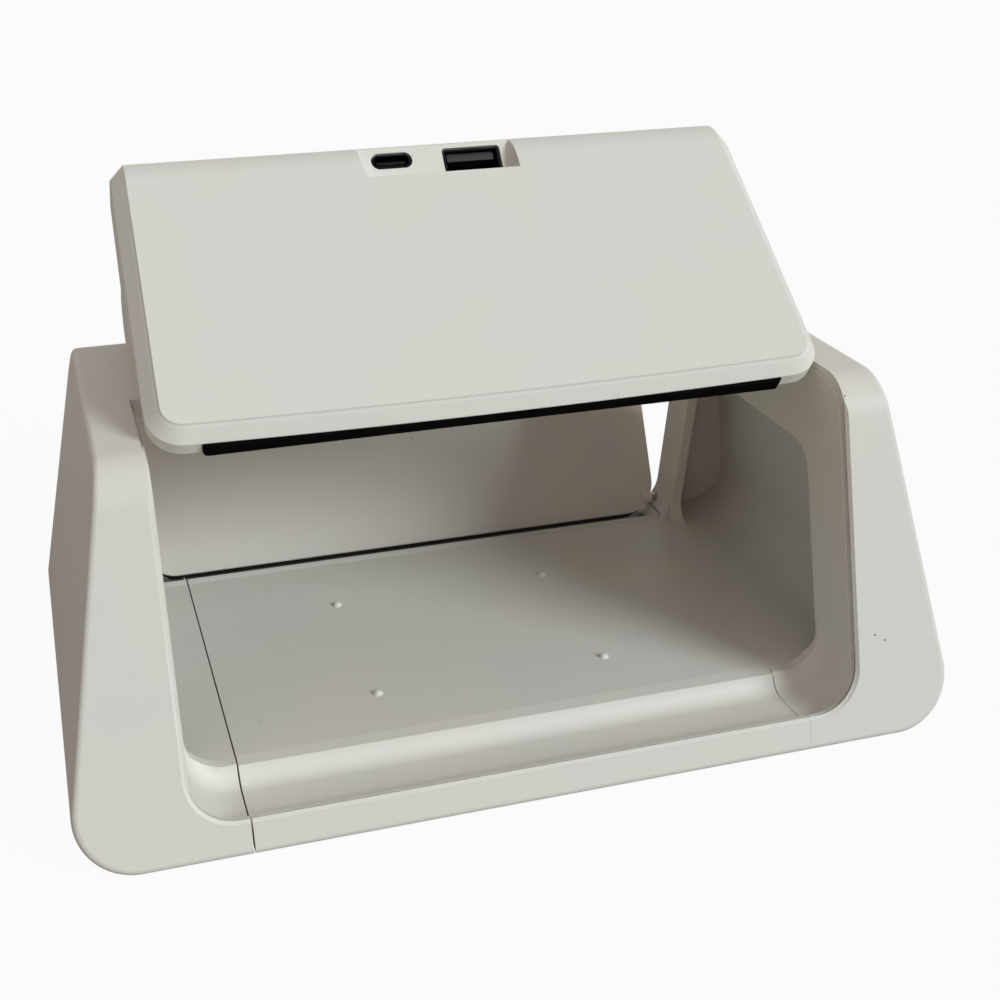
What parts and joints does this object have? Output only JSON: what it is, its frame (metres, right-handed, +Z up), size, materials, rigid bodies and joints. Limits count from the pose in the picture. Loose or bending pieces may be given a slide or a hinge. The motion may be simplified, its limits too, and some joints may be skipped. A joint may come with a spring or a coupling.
{
  "type": "uv sanitizer box",
  "caption": "Tabletop ultraviolet sanitizer box for phones: a three-sided base with phone rests and a hood that tips open about its back edge, with two charging sockets in a notch.",
  "frame": {"origin": "on the surface it stands on, under the middle of the base (centre of the anti-slip pad's underside)", "axes": "+Z up, front (open side) towards -Y, +X to the right seen from the front"},
  "size_m": [0.1946, 0.148, 0.1249],
  "materials": {
    "housing_plastic": "satin, warm off-white",
    "inner_plastic": "satin, warm off-white",
    "black_rubber": "matte black",
    "steel": "plated",
    "socket_steel": "satin",
    "black_plastic": "matte black",
    "circuit_board": "green solder mask",
    "copper": "enamelled copper wire",
    "ferrite": "dark grey sheet",
    "led_ceramic": "white ceramic",
    "quartz": "clear",
    "light_pipe": "frosted clear",
    "magnet": "nickel plated"
  },
  "bodies": {
    "base": {"left_side_pod": "housing_plastic", "right_side_pod": "housing_plastic", "floor_bridge": "housing_plastic", "base_plate": "inner_plastic", "anti_slip_pad": "black_rubber", "base_screw_1": "steel", "base_screw_2": "steel", "base_screw_3": "steel", "base_screw_4": "steel", "base_screw_5": "steel", "base_screw_6": "steel", "hinge_pin_left": "steel", "hinge_pin_right": "steel", "interlock_sensor": "black_plastic"},
    "hood": {"front_cover": "housing_plastic", "closing_seal": "black_rubber", "front_liner": "inner_plastic", "top_cover": "housing_plastic", "inner_shell": "inner_plastic", "back_panel": "housing_plastic", "usb_c_socket": "socket_steel", "usb_a_shell": "socket_steel", "usb_a_tongue": "black_plastic", "main_board": "circuit_board", "board_screw_1": "steel", "board_screw_2": "steel", "board_screw_3": "steel", "board_screw_4": "steel", "hood_screw_1": "steel", "hood_screw_2": "steel", "hood_screw_3": "steel", "hood_screw_4": "steel", "charging_coil": "copper", "ferrite_sheet": "ferrite", "uv_board": "circuit_board", "uv_led_1": "led_ceramic", "uv_led_2": "led_ceramic", "uv_led_3": "led_ceramic", "uv_led_4": "led_ceramic", "uv_window": "quartz", "tact_switch": "black_plastic", "status_light": "light_pipe", "interlock_magnet": "magnet"},
    "start_button": {"start_button": "housing_plastic"}
  },
  "joints": [
    {"name": "hood_hinge", "type": "hinge", "parent": "base", "child": "hood", "pos_m": [0, 0.0565, 0.0129], "axis": [-1, 0, 0], "range_deg": [-38.7, 31.3]},
    {"name": "button_press", "type": "slide", "parent": "hood", "child": "start_button", "axis": [0, -0.6252, -0.7804], "range_m": [0, 0.0008], "stiffness_N_per_m": 500, "springref_m": -0.001}
  ]
}
